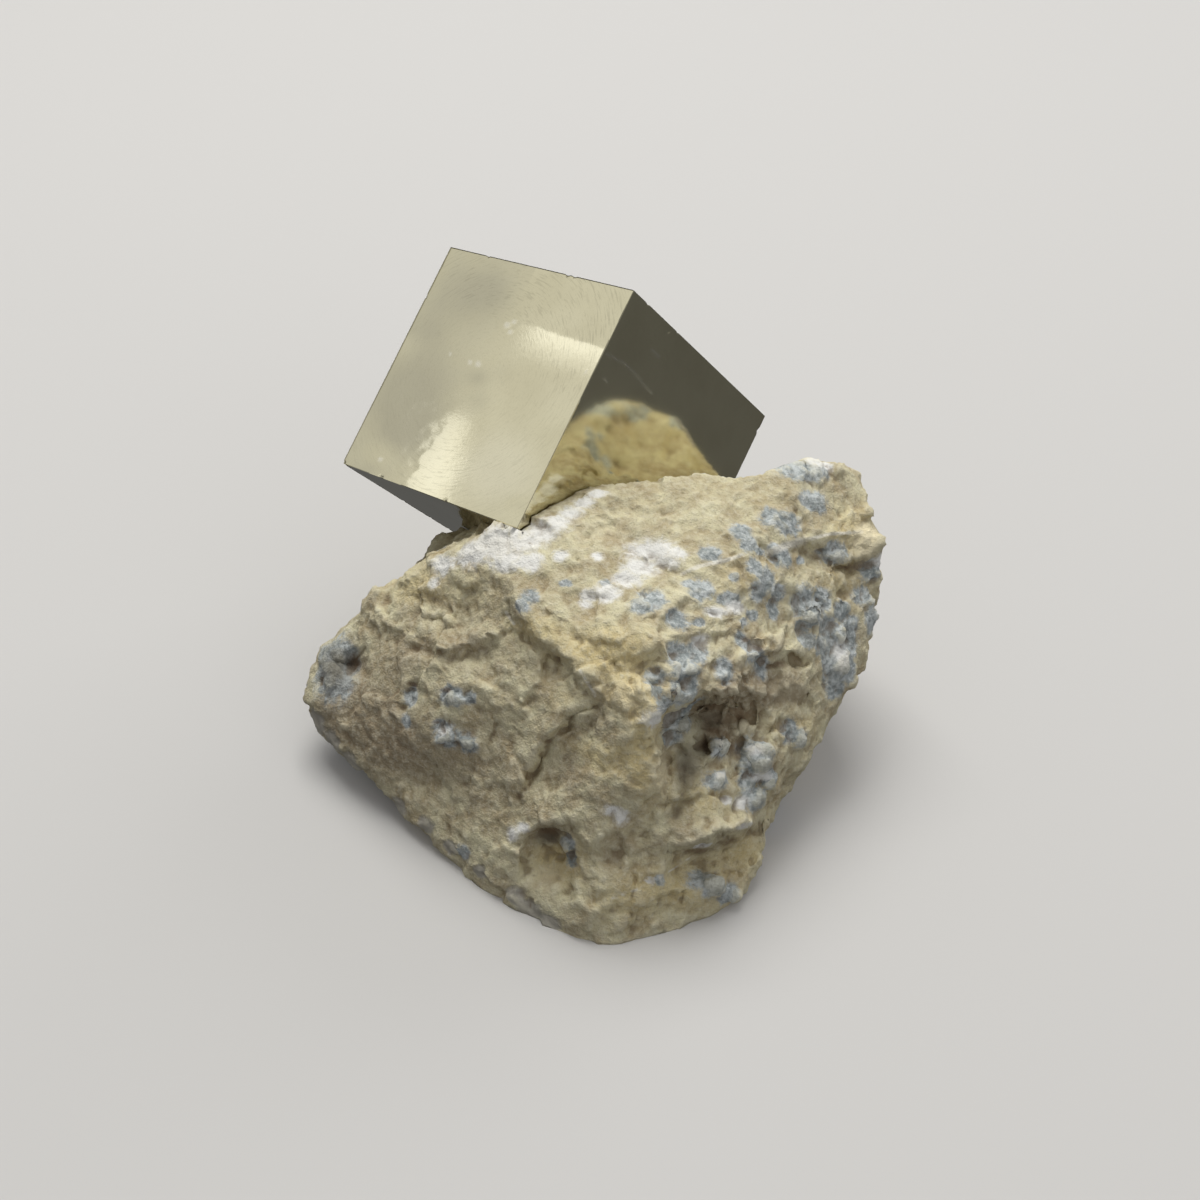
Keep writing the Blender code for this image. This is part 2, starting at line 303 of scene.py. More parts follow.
def line_offsets(places, line):
    """Distances of places from a line, plus on its left as drawn, and shares of its length."""
    nearest = np.full(len(places), np.inf)
    signed = np.zeros(len(places))
    shares = np.zeros(len(places))
    for index, (start, end) in enumerate(zip(line, line[1:])):
        run = np.subtract(end, start)
        along = held((places - start) @ run / (run @ run))
        away = places - start - along[:, None] * run
        length = np.hypot(away[:, 0], away[:, 1])
        side = np.where(away[:, 0] * run[1] - away[:, 1] * run[0] > 0, 1.0, -1.0)
        closer = length < nearest
        nearest = np.where(closer, length, nearest)
        signed = np.where(closer, side * length, signed)
        shares = np.where(closer, (index + along) / (len(line) - 1), shares)
    return signed, shares


def finished(name, bm, node, material, worked, smooth=True):
    """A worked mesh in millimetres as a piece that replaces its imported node."""
    for face in bm.faces:
        face.smooth = smooth
    bm.transform(Matrix.Scale(MM, 4))
    mesh = bpy.data.meshes.new(name)
    bm.to_mesh(mesh)
    bm.free()
    for title, values in worked.items():
        layer = mesh.attributes.new(title, "FLOAT", "POINT")
        layer.data.foreach_set("value", values.astype(np.float32))
    piece = bpy.data.objects.new(name, mesh)
    bpy.context.scene.collection.objects.link(piece)
    mesh.materials.append(material)
    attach(piece, "root")
    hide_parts(node)
    return piece
# ---- the crystal

# One picture unit on the crystal's front, in millimetres
SEEN_MM = 0.062

# The bright face is a very low growth hill. It leans away on the left, as drawn, of each
# line, by an angle in degrees. The last number is how far the line wanders
BRIGHT_LEANS = [
    ([(391, 508), (420, 458), (452, 416), (478, 366), (505, 322), (520, 296)], 0.9, 6.0),
    ([(360, 306), (455, 318), (500, 319), (530, 325), (566, 337), (625, 355)], 0.9, 1.6),
]
RIGHT_LEANS = [([(720, 470), (692, 432), (665, 400), (640, 378), (600, 352)], 0.35, 1.0)]
LEAN_WANDER = 14.0

# The hill's top, which the fine arcs run round, and where the arcs are plain: places in the
# picture and radii
HILL_TOP = (476, 372)
HATCHED = [
    (600, 300, 40), (575, 290, 40), (600, 330, 45), (570, 345, 45), (535, 300, 40), (505, 285, 40),
    (470, 280, 35), (600, 365, 40), (575, 375, 35), (440, 460, 40), (430, 480, 40), (545, 330, 40),
]

# Painted reflection of the bright face: darker (+) and lighter (-) places laid into its colour, as its mirrored
# room shows them: place in the picture, half sizes, strength
PAINTED_REFLECTION_PLACES = [
    (474, 298, 46, 32, 0.55), (495, 290, 22, 22, 0.3), (420, 396, 44, 54, 0.75), (400, 420, 30, 36, 0.5),
    (478, 378, 12, 10, 0.5), (507, 375, 16, 12, 0.3), (480, 402, 12, 12, 0.3), (385, 452, 20, 18, -0.4),
    (402, 344, 22, 16, -0.3), (500, 470, 46, 44, -0.6), (560, 400, 30, 30, -0.15), (370, 470, 14, 10, 0.3),
    (430, 330, 16, 20, 0.3), (402, 436, 24, 26, 0.35), (520, 505, 14, 8, 0.5),
]

# Growth steps of the other faces: their number, and their least and largest height
STEPS = 5
STEP_HEIGHTS = (0.003, 0.009)
STEP_WIDTH = 0.7

# Nicks in the crystal's edges: those seen, as (x, y, radius), and a number of others
SEEN_NICKS = [
    (669, 331, 0.18), (674, 336, 0.13), (583, 281, 0.15), (570, 277, 0.11), (557, 274, 0.13),
    (543, 270, 0.11), (531, 267, 0.13), (344, 463, 0.22),
]
OTHER_NICKS = 18

# Fine scratches on the right face, as lines in the picture, and painted glints of the bright one: small pale
# spots, also a little raised and rougher, as place and radius in the picture
SCRATCHES = [
    [(607, 354), (625, 364), (641, 380)], [(641, 382), (652, 393)], [(604, 378), (607, 382)],
    [(676, 418), (686, 430), (694, 446)], [(652, 350), (659, 357)],
]
PAINTED_GLINTS = [
    (507, 325, 4), (514, 322, 3), (510, 332, 3), (478, 364, 4), (470, 362, 3), (450, 354, 2),
    (380, 459, 3), (586, 372, 2),
]


def leaning(places, leans):
    """How deep a face lies where it leans away from lines in the picture."""
    wander = np.array([noise.fractal(Vector((x, y, 0.0)) / LEAN_WANDER, 1.0, 2.0, 2) for x, y in places])
    deepest = np.zeros(len(places))
    for line, degrees, reach in leans:
        offset, _ = line_offsets(places, line)
        depth = math.tan(math.radians(degrees)) * SEEN_MM * (offset + reach * wander)
        deepest = np.maximum(deepest, depth)
    return deepest


def growth_steps(across, along, seed):
    """How deep a face lies under the low steps that run along one of its edges."""
    draw = random.Random(seed)
    depth = np.zeros(len(across))
    for _ in range(STEPS):
        place = draw.uniform(-7.5, 7.5)
        height = draw.uniform(*STEP_HEIGHTS)
        side = draw.choice((-1, 1))
        bend = 0.3 * np.sin(along / draw.uniform(1.5, 4.0) + draw.uniform(0, 6))
        depth += height * held(side * (across - place - bend) / STEP_WIDTH)
    return depth


def near_nick(points, middle, radius):
    """Moves points into a shallow nick around a place of an edge."""
    away = points - middle
    length = np.linalg.norm(away, axis=1)
    share = held(1.0 - (length / radius) ** 2)[:, None]
    inward = -middle / np.linalg.norm(middle)
    return points + inward * share * radius * 0.5


def crystal_nicks():
    """Places on the crystal's edges, and the sizes of the nicks there."""
    nicks = []
    for x, y, radius in SEEN_NICKS:
        best = None
        for axis in range(3):
            for side in (-1, 1):
                hit = in_crystal(np.array([mirrored(x, y, axis, side)[0]]))[0]
                over = np.max(np.abs(hit) - CRYSTAL_HALF)
                if best is None or over < best[0]:
                    best = (over, np.clip(hit, -CRYSTAL_HALF, CRYSTAL_HALF))
        nicks.append((best[1], radius))
    draw = random.Random(5)
    for _ in range(OTHER_NICKS):
        place = np.array([draw.choice((-1.0, 1.0)) for _ in range(3)]) * CRYSTAL_HALF
        place[draw.randrange(3)] *= draw.uniform(-0.95, 0.95)
        nicks.append((place, draw.uniform(0.1, 0.2)))
    return nicks


def crystal_block():
    """The crystal in its own axes, finely divided, with its edges just broken."""
    bm = bmesh.new()
    bmesh.ops.create_cube(bm, size=1.0)
    bmesh.ops.scale(bm, vec=CRYSTAL_SIZE, verts=bm.verts)
    bmesh.ops.subdivide_edges(bm, edges=bm.edges, cuts=CRYSTAL_CUTS, use_grid_fill=True)
    corners = [edge for edge in bm.edges if edge.calc_face_angle(0.0) > 0.5]
    bmesh.ops.bevel(
        bm,
        geom=corners,
        offset=CRYSTAL_EDGE,
        affect="EDGES",
        segments=2,
        profile=0.5,
        material=-1,
    )
    bmesh.ops.triangulate(bm, faces=bm.faces)
    for edge in bm.edges:
        edge.smooth = edge.calc_face_angle(0.0) < 0.25
    return bm


def spotted(places, spots):
    """1 in the middle of each spot of the picture and 0 outside all of them."""
    share = np.zeros(len(places))
    for x, y, radius in spots:
        away = np.hypot(places[:, 0] - x, places[:, 1] - y)
        share = np.maximum(share, held(1.0 - (away / radius) ** 2))
    return share


def patched(places, patches):
    """The strengths of soft patches of the picture, added up."""
    total = np.zeros(len(places))
    for x, y, half_across, half_down, strength in patches:
        reach = ((places[:, 0] - x) / half_across) ** 2 + ((places[:, 1] - y) / half_down) ** 2
        total += strength * np.exp(-1.2 * reach)
    return total


def scratched(places):
    """1 on the fine scratches of the right face."""
    share = np.zeros(len(places))
    for line in SCRATCHES:
        offset, _ = line_offsets(places, line)
        share = np.maximum(share, held(1.0 - np.abs(offset) / 2.2))
    return share


def make_crystal():
    bm = crystal_block()
    skin = Skin(bm)
    points = skin.points
    seen = in_picture(from_crystal(points))
    shaped = points.copy()
    satin = np.full(len(points), 0.3)
    tone_and_painted_light = np.zeros(len(points))
    hatch = np.zeros(len(points))
    scratch_and_painted_glint = np.zeros(len(points))
    for axis in range(3):
        across, along = [other for other in range(3) if other != axis]
        for side in (-1, 1):
            face = np.abs(points[:, axis] - side * CRYSTAL_HALF[axis]) < 1e-4
            here = points[face]
            places = seen[face]
            seed = 10 * axis + side
            if (axis, side) == BRIGHT_FACE:
                depth = leaning(places, BRIGHT_LEANS)
                satin[face] = 0.0
                # Painted reflection: the bright face is darker left of the streak's line and in the listed
                # places, and lighter where a strength is below 0.
                left, _ = line_offsets(places, BRIGHT_LEANS[0][0])
                tone_and_painted_light[face] = 0.55 * held(0.5 + left / 90.0) + patched(places, PAINTED_REFLECTION_PLACES)
                hatch[face] = 0.35 + 0.65 * spotted(places, HATCHED)
                # Painted glints: small pale spots of the bright face, also a little raised and rougher.
                scratch_and_painted_glint[face] = spotted(places, PAINTED_GLINTS)
            elif (axis, side) == RIGHT_FACE:
                depth = leaning(places, RIGHT_LEANS)
                satin[face] = 1.0
                scratch_and_painted_glint[face] = scratched(places)
            else:
                depth = growth_steps(here[:, across], here[:, along], seed)
            shaped[face, axis] -= side * depth
    for middle, radius in crystal_nicks():
        shaped = near_nick(shaped, middle, radius)
    for vert, place in zip(bm.verts, from_crystal(shaped)):
        vert.co = place
    worked = {"satin": satin, "tone_and_painted_light": tone_and_painted_light, "hatch": hatch, "scratch_and_painted_glint": scratch_and_painted_glint}
    return finished("pyrite_crystal", bm, CRYSTAL, pyrite_finish(), worked)


def arcs_around(finish, middle):
    """Fine uneven lines that run round a place of the bright face."""
    turn = CRYSTAL_MATRIX.to_3x3()
    away = finish.vector("SUBTRACT", finish.place, tuple(middle))
    across, up = [finish.dot(away, turn.col[axis]) for axis in (0, 2)]
    flat = finish.node("ShaderNodeCombineXYZ", {}, {0: across, 1: up})
    reach = finish.node("ShaderNodeVectorMath", {"operation": "LENGTH"}, {0: flat}, "Value")
    angle = across.math("ARCTAN2", up, across)
    stretched = finish.node("ShaderNodeCombineXYZ", {}, {0: reach * 8.5, 1: angle * 7.0})
    return finish.grain(1.0, 2.0, 0.55, place=stretched, distortion=0.5)


def pyrite_finish():
    """Pale brass crystal faces, mirror-like, with a fine grain and arcs of growth, painted reflection in darker
    and lighter places of the bright face, and painted glints.
    """
    finish = Finish("pyrite")
    satin = finish.worked("satin")
    tone_and_painted_light = finish.worked("tone_and_painted_light")
    hatch = finish.worked("hatch")
    scratch_and_painted_glint = finish.worked("scratch_and_painted_glint")
    middle, _ = mirrored(*HILL_TOP, *BRIGHT_FACE)
    arcs = arcs_around(finish, middle)
    broad = finish.grain(3.0, 3.0, 0.5)
    dimple = finish.grain(0.30, 2.0, 0.5)
    pores = finish.grain(0.14, 2.0, 0.55)

    tone = finish.mix(broad.clear(0.3, 0.7), (0.655, 0.61, 0.425), (0.71, 0.665, 0.47))
    # Painted reflection: the bright face's darker and lighter places, laid into its colour.
    tone = finish.mix((tone_and_painted_light + (broad - 0.5) * 0.8).clear(0.0, 1.3) * 0.75, tone, (0.44, 0.415, 0.31))
    tone = finish.mix((0.0 - tone_and_painted_light).clear(0.0, 0.6) * 0.6, tone, (0.80, 0.76, 0.58))
    lines = (arcs.clear(0.50, 0.70) * hatch * 0.3) + pores.clear(0.5, 0.8) * 0.12
    tone = finish.mix(lines, tone, (0.30, 0.28, 0.20))
    # Pale scratches of the right face, and painted glints of the bright face.
    tone = finish.mix(scratch_and_painted_glint * 0.4, tone, (0.88, 0.86, 0.78))
    rise = dimple * 0.16 + pores * 0.07 + hatch * arcs * 0.42 + scratch_and_painted_glint * 0.4
    finish.set(
        Base_Color=tone,
        Metallic=1.0,
        Roughness=satin * 0.03 + scratch_and_painted_glint * 0.2 + 0.062,
        Normal=finish.bump(rise, 0.0035, 1.0),
    )
    return finish.material




# ---- the marl

# Ledges: a line in the picture with the higher side on its left as drawn, its height, and
# how far it reaches in picture units
LEDGES = [
    ([(497, 574), (506, 602), (516, 622), (532, 640), (552, 653)], 0.12, 12),
    ([(556, 650), (572, 670), (588, 690), (603, 702)], 0.55, 14),
    ([(612, 668), (640, 677), (655, 698), (661, 724), (658, 752), (655, 790)], -0.55, 12),
    ([(678, 738), (681, 770), (679, 800), (668, 828)], -0.55, 12),
    ([(686, 702), (700, 697), (722, 699), (740, 711), (750, 722)], 0.3, 9),
    ([(742, 664), (765, 655), (790, 654), (814, 662)], 0.9, 14),
    ([(813, 546), (832, 562), (852, 567), (884, 549)], 0.8, 12),
    ([(660, 852), (690, 847), (722, 835), (752, 827), (769, 816)], 1.5, 12),
    ([(396, 640), (428, 649), (455, 656), (480, 643), (500, 631)], 0.28, 13),
    ([(372, 610), (392, 628), (418, 633)], 0.22, 10),
    ([(428, 795), (447, 801), (464, 797)], 0.3, 8),
    ([(432, 708), (450, 689), (480, 687)], 0.35, 8),
    ([(400, 690), (418, 681), (428, 686)], 0.3, 7),
    ([(428, 729), (446, 721), (470, 727)], 0.35, 8),
    ([(518, 885), (520, 852), (533, 833), (553, 823), (568, 833), (578, 850)], 0.75, 9),
    ([(578, 850), (579, 872), (568, 896)], 0.5, 8),
    ([(595, 846), (610, 832), (626, 845), (630, 862)], 0.4, 10),
    ([(640, 688), (664, 676), (690, 684)], 0.35, 10),
    ([(700, 640), (730, 632), (768, 640), (782, 652)], 0.45, 12),
    ([(560, 628), (590, 640), (618, 642), (650, 632)], 0.3, 12),
    ([(590, 748), (606, 758), (628, 752)], 0.3, 10),
    ([(556, 760), (572, 752), (590, 762)], 0.25, 9),
    ([(690, 790), (716, 796), (742, 790)], 0.35, 9),
    ([(775, 720), (792, 716), (812, 722)], 0.4, 9),
    ([(742, 800), (756, 812), (768, 806)], 0.3, 8),
    ([(604, 912), (618, 902), (632, 908)], 0.35, 9),
    ([(655, 905), (680, 900), (700, 910)], 0.3, 9),
    ([(520, 745), (505, 772), (488, 800)], 0.25, 12),
    ([(396, 600), (420, 590), (446, 596)], 0.25, 12),
    ([(600, 512), (640, 518), (690, 512)], -0.2, 12),
    ([(770, 500), (786, 494), (800, 500)], 0.2, 9),
    ([(330, 725), (352, 735), (370, 752)], 0.3, 10),
    ([(800, 690), (812, 702), (815, 722)], 0.35, 10),
]
LEDGE_SHARPNESS = 2.2

# Grooves (-) and ridges (+): a line in the picture, half its width there, and its height
GROOVES = [
    ([(602, 702), (575, 715), (553, 738), (538, 765), (518, 800)], 4.0, -0.55),
    ([(773, 550), (800, 541), (830, 534), (862, 532)], 4.0, 0.20),
    ([(682, 575), (700, 566), (730, 559), (748, 553)], 4.0, 0.08),
    ([(632, 866), (630, 900), (633, 934)], 2.4, -0.30),
    ([(588, 668), (594, 684), (600, 698)], 2.2, 0.22),
    ([(316, 655), (324, 672), (322, 690)], 2.4, -0.30),
    ([(329, 648), (338, 664), (340, 688)], 2.2, -0.22),
    ([(520, 618), (524, 640), (540, 655)], 2.4, -0.22),
    ([(750, 690), (752, 712), (748, 728)], 2.6, -0.30),
    ([(668, 745), (670, 780), (664, 812)], 2.4, -0.22),
    ([(600, 660), (640, 664), (668, 655)], 2.6, -0.18),
    ([(485, 700), (495, 722), (490, 745)], 2.4, -0.16),
    ([(840, 585), (846, 600), (842, 620)], 2.4, -0.20),
]

# Dents (-) and bumps (+): place in the picture, half sizes, and height
DENTS = [
    (351, 664, 9, 14, -0.75), (704, 706, 14, 6, -0.45), (741, 718, 8, 6, -0.35),
    (612, 851, 15, 13, -0.3), (612, 909, 13, 9, -0.3), (549, 836, 18, 8, -0.45),
    (548, 856, 24, 24, -0.55), (471, 655, 28, 8, -0.3), (556, 660, 10, 8, -0.4),
    (735, 652, 12, 8, -0.35), (412, 684, 10, 5, -0.3), (444, 722, 10, 5, -0.35),
    (705, 742, 6, 12, -0.55), (731, 742, 5, 10, -0.5), (850, 566, 24, 6, -0.4),
    (780, 664, 26, 7, -0.4), (690, 850, 22, 6, -0.3), (570, 722, 9, 9, -0.35),
    (608, 600, 22, 6, -0.15), (585, 525, 16, 10, 0.2), (868, 612, 8, 16, 0.2),
    (640, 690, 14, 10, 0.35), (633, 715, 10, 10, -0.3), (620, 740, 20, 14, 0.2),
    (735, 700, 10, 7, 0.6),
    (752, 690, 8, 9, 0.5), (766, 708, 10, 8, 0.45), (712, 724, 12, 5, -0.3), (728, 712, 8, 5, 0.45),
    (746, 728, 7, 6, 0.35), (692, 738, 8, 12, 0.4), (699, 766, 9, 9, 0.35), (736, 768, 5, 7, -0.5),
    (738, 746, 4, 13, -0.6), (703, 746, 6, 12, -0.8), (690, 665, 12, 12, 0.4), (680, 695, 12, 12, 0.4),
    (676, 728, 12, 9, 0.5), (655, 672, 7, 5, -0.5), (745, 672, 7, 8, 0.4), (728, 682, 7, 6, -0.4),
    (790, 700, 14, 9, -0.35), (770, 730, 7, 7, -0.4), (358, 662, 7, 12, -0.5),
    (844, 468, 7, 8, 0.3),
    (780, 520, 16, 11, 0.12), (816, 501, 14, 9, 0.12), (718, 885, 18, 11, 0.4),
    (734, 577, 4, 4, 0.25), (568, 846, 8, 11, 0.3), (812, 613, 18, 14, 0.25),
    (842, 552, 18, 9, 0.35), (455, 697, 18, 7, 0.2), (443, 742, 11, 8, 0.25),
    (467, 743, 8, 8, 0.22), (642, 604, 15, 10, 0.2), (697, 590, 10, 9, 0.15),
    (840, 665, 14, 14, 0.25),
    (868, 500, 6, 10, 0.2), (886, 545, 7, 7, 0.3), (883, 590, 6, 7, 0.25),
]

# Rounded nodules that stand out of the marl: place and radius in the picture, and height
NODULES = [
    (808, 468, 22, 0.5), (836, 470, 9, 0.3), (333, 662, 22, 0.30), (332, 680, 16, 0.2), (757, 757, 18, 0.6),
    (719, 746, 10, 0.5), (770, 779, 12, 0.4), (750, 782, 9, 0.3), (798, 738, 12, 0.4), (786, 730, 7, 0.3),
    (716, 887, 16, 0.35), (736, 896, 9, 0.3), (720, 781, 12, 0.35), (690, 665, 15, 0.3), (674, 690, 12, 0.3),
    (683, 722, 14, 0.4), (758, 800, 12, 0.4), (812, 612, 17, 0.35), (842, 662, 16, 0.35), (840, 634, 10, 0.3),
    (843, 553, 15, 0.3), (780, 520, 14, 0.12), (818, 502, 12, 0.15), (880, 542, 10, 0.4), (868, 512, 9, 0.35),
    (874, 572, 9, 0.3), (868, 600, 9, 0.3), (764, 822, 8, 0.35), (452, 697, 13, 0.15), (447, 738, 9, 0.2),
    (467, 744, 7, 0.2), (645, 602, 11, 0.15), (568, 846, 8, 0.3), (400, 606, 18, 0.2), (432, 622, 20, 0.2),
    (466, 612, 16, 0.15), (420, 668, 12, 0.15), (740, 660, 9, 0.2), (762, 690, 8, 0.25), (735, 705, 7, 0.3),
]

# Blue-grey mottles: place in the picture and half sizes
GREY_SPOTS = [
    (790, 466, 12, 9), (824, 470, 10, 8),    (806, 470, 22, 10), (815, 501, 15, 10), (775, 517, 13, 9), (789, 523, 12, 11), (741, 531, 9, 10),
    (748, 543, 9, 8), (710, 553, 10, 8), (760, 551, 7, 4), (775, 547, 7, 4), (783, 557, 12, 9),
    (835, 553, 16, 10), (755, 567, 9, 9), (766, 578, 13, 11), (759, 591, 9, 10), (776, 592, 10, 8),
    (734, 577, 5, 5), (701, 590, 13, 10), (690, 584, 7, 6), (729, 599, 14, 6), (652, 599, 12, 11),
    (640, 606, 10, 8), (676, 620, 11, 9), (753, 615, 6, 5), (772, 609, 8, 9), (803, 603, 13, 14),
    (816, 617, 13, 11), (801, 626, 9, 7), (807, 640, 11, 8), (823, 646, 12, 10), (838, 636, 13, 13),
    (851, 627, 11, 11), (846, 656, 13, 15), (838, 673, 13, 15), (850, 669, 9, 13), (872, 570, 14, 9),
    (860, 597, 12, 8), (873, 618, 10, 15), (834, 688, 13, 9), (742, 640, 8, 8), (752, 652, 10, 10),
    (760, 667, 8, 11), (724, 670, 9, 11), (655, 677, 10, 8), (680, 656, 15, 12), (698, 652, 10, 11),
    (690, 671, 15, 15), (683, 690, 15, 14), (690, 708, 13, 12), (676, 722, 15, 13), (669, 736, 10, 9), (664, 704, 9, 10),
    (655, 691, 7, 7), (720, 746, 9, 11), (719, 780, 13, 9), (757, 757, 18, 17), (750, 778, 12, 9),
    (768, 777, 13, 9), (756, 798, 15, 10), (789, 731, 9, 10), (806, 740, 10, 11), (703, 880, 14, 9),
    (716, 888, 15, 12), (729, 895, 10, 10), (660, 880, 5, 5), (412, 697, 7, 8), (450, 696, 14, 9),
    (470, 697, 6, 6), (407, 721, 5, 6), (445, 737, 12, 12), (466, 744, 9, 10), (522, 606, 7, 6),
    (530, 597, 8, 7), (568, 842, 9, 8), (573, 855, 7, 9), (334, 666, 20, 28), (325, 650, 11, 13),
    (463, 853, 6, 7), (566, 583, 6, 3), (606, 583, 5, 4), (700, 622, 6, 4),
    (800, 560, 6, 4), (744, 622, 6, 4), (826, 628, 15, 13), (848, 645, 13, 13), (830, 660, 11, 11),
    (822, 600, 13, 11), (842, 612, 12, 10), (440, 724, 7, 6),
]

# White powdery crust: place in the picture and half sizes
CRUST_SPOTS = [
    (445, 564, 16, 9), (470, 553, 19, 13), (495, 542, 24, 17), (520, 541, 18, 15), (541, 533, 14, 10),
    (557, 523, 12, 9), (571, 512, 11, 9), (584, 502, 10, 7), (597, 493, 9, 5), (507, 561, 16, 10),
    (530, 561, 12, 9), (652, 551, 22, 10), (666, 562, 13, 7), (641, 567, 17, 10), (626, 580, 13, 8),
    (608, 592, 12, 9), (590, 596, 8, 6), (560, 556, 7, 6), (598, 557, 6, 5), (655, 718, 12, 8),
    (621, 818, 8, 7), (612, 810, 8, 5), (735, 608, 10, 6), (716, 612, 12, 5), (433, 583, 6, 5),
    (816, 461, 13, 6), (826, 467, 7, 5), (726, 477, 7, 4), (523, 828, 8, 5), (512, 834, 6, 7), (742, 803, 9, 6),
    (726, 801, 6, 4), (585, 605, 6, 4), (676, 552, 9, 6), (880, 560, 9, 6), (843, 655, 9, 12),
    (720, 741, 4, 4), (722, 775, 7, 3), (762, 776, 11, 5), (755, 750, 8, 5), (650, 880, 5, 3), (445, 731, 8, 4),
    (700, 640, 9, 6), (850, 690, 4, 9), (745, 826, 16, 3), (700, 845, 12, 3),
]

# Ochre (+) tints of the marl, and brown (-) ones that are mostly painted shade on the shaded left front, in
# recesses, hollows and under ledges: place in the picture, half sizes, strength
TINTS_AND_PAINTED_SHADE = [
    (690, 500, 70, 30, 0.2), (770, 500, 40, 24, 0.15), (850, 530, 30, 30, 0.7), (740, 575, 50, 26, 0.5),
    (840, 590, 30, 30, 0.5), (530, 628, 30, 16, 1.0), (600, 650, 60, 26, 1.0), (640, 700, 30, 30, 1.1),
    (645, 760, 16, 50, 0.9), (700, 800, 50, 30, 0.7), (690, 890, 50, 30, 0.9), (740, 850, 30, 20, 0.9),
    (620, 900, 40, 30, 0.5), (790, 725, 30, 16, 0.8), (560, 700, 30, 24, 0.5), (560, 860, 30, 26, 0.9),
    (410, 590, 26, 20, 0.3), (318, 660, 10, 40, 0.5), (630, 545, 40, 24, -0.3), (540, 515, 30, 16, -0.1),
    (440, 590, 60, 30, 0.4), (430, 616, 40, 10, -0.5), (600, 762, 44, 26, 0.9), (470, 640, 50, 26, -0.5), (410, 655, 44, 26, -0.7), (350, 710, 50, 44, -1.3),
    (400, 750, 50, 40, -0.9), (480, 770, 60, 60, -0.6), (572, 770, 24, 20, -0.9), (600, 722, 34, 16, -0.7),
    (740, 690, 50, 34, -0.9), (720, 735, 24, 30, -0.9), (550, 832, 20, 12, -0.9), (615, 852, 20, 18, -0.5),
    (690, 832, 30, 16, -0.8), (780, 690, 34, 24, -0.8), (620, 790, 30, 20, -0.2),
]

WEATHERED = 0.45

# Painted shade (+) and painted light (-): place in the picture, half sizes, strength
PAINTED_LIGHT_AND_SHADE_PLACES = [
    (336, 668, 20, 28, 0.9), (390, 705, 44, 30, 0.3), (570, 762, 12, 12, 0.3), (712, 724, 26, 12, 0.5), (686, 768, 18, 34, 1.0), (706, 712, 22, 10, 0.5), (676, 812, 14, 20, 0.4),
    (706, 748, 10, 18, 0.5), (550, 833, 16, 10, 0.5), (614, 852, 16, 14, 0.25), (572, 768, 16, 14, 0.3),
    (602, 720, 34, 10, 0.3), (722, 846, 34, 6, 0.4), (660, 668, 10, 10, 0.4), (632, 700, 26, 26, -0.6),
    (662, 772, 12, 32, -0.7), (548, 872, 16, 13, -0.8), (545, 840, 20, 8, 0.5), (722, 864, 30, 10, -0.2), (786, 690, 22, 18, -0.5),
    (866, 540, 12, 16, -2.2), (632, 572, 20, 12, 0.12), (600, 530, 44, 16, -0.35), (500, 545, 40, 16, -0.3), (812, 640, 30, 40, -0.2),
    (560, 690, 20, 16, -0.2),
]

# Smooth pale break faces along the foot: place in the picture and half sizes
PALE_SPOTS = [
    (308, 705, 14, 20), (318, 722, 15, 16), (332, 742, 16, 14), (352, 762, 15, 13), (375, 786, 14, 12),
    (400, 806, 13, 11), (425, 826, 13, 11), (450, 848, 11, 10), (480, 872, 10, 9), (515, 897, 13, 12),
    (530, 911, 17, 15), (548, 923, 16, 12), (566, 935, 11, 8), (305, 685, 9, 12),
]

# Pale veins, as lines in the picture with half their width
VEINS = [
    ([(770, 552), (786, 546), (802, 541)], 4.0),
    ([(802, 541), (830, 534), (862, 532)], 1.8),
    ([(682, 574), (700, 566), (727, 560), (745, 554)], 2.0),
    ([(580, 670), (588, 684), (596, 696)], 1.6),
    ([(506, 612), (514, 624)], 1.6),
    ([(604, 902), (650, 884), (690, 858)], 0.8),
]

# Brown pits, and painted shadow in hollows and under ledges and overhangs: place in the picture and half sizes
PITS_AND_PAINTED_SHADOW = [
    (706, 706, 13, 7), (694, 701, 8, 6), (740, 718, 9, 6), (356, 663, 8, 11), (704, 744, 8, 11),
    (716, 731, 10, 5), (731, 750, 6, 9), (560, 660, 8, 4), (571, 717, 6, 4), (548, 741, 5, 6),
    (520, 797, 5, 4), (550, 831, 12, 7), (850, 567, 14, 4), (778, 664, 18, 4),
    (412, 684, 6, 3), (446, 690, 7, 3), (436, 722, 6, 3), (700, 851, 16, 4), (728, 842, 14, 4),
    (745, 640, 7, 4), (758, 648, 6, 4),
]

# Grey and white spots of the crest that only the right face shows, mirrored
MIRRORED_GREY = [(632, 412, 12, 10), (650, 414, 12, 9), (672, 419, 11, 8), (690, 424, 7, 5)]
MIRRORED_CRUST = [(605, 404, 8, 6), (613, 401, 7, 5)]

# Calm break faces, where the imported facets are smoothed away: place and half sizes
CALM_PLACES = [
    (640, 525, 70, 34), (740, 505, 46, 24), (590, 550, 46, 30), (500, 560, 40, 22), (830, 490, 24, 20),
    (600, 640, 46, 16), (705, 845, 40, 14),
]
CALM_ROUNDS = 45

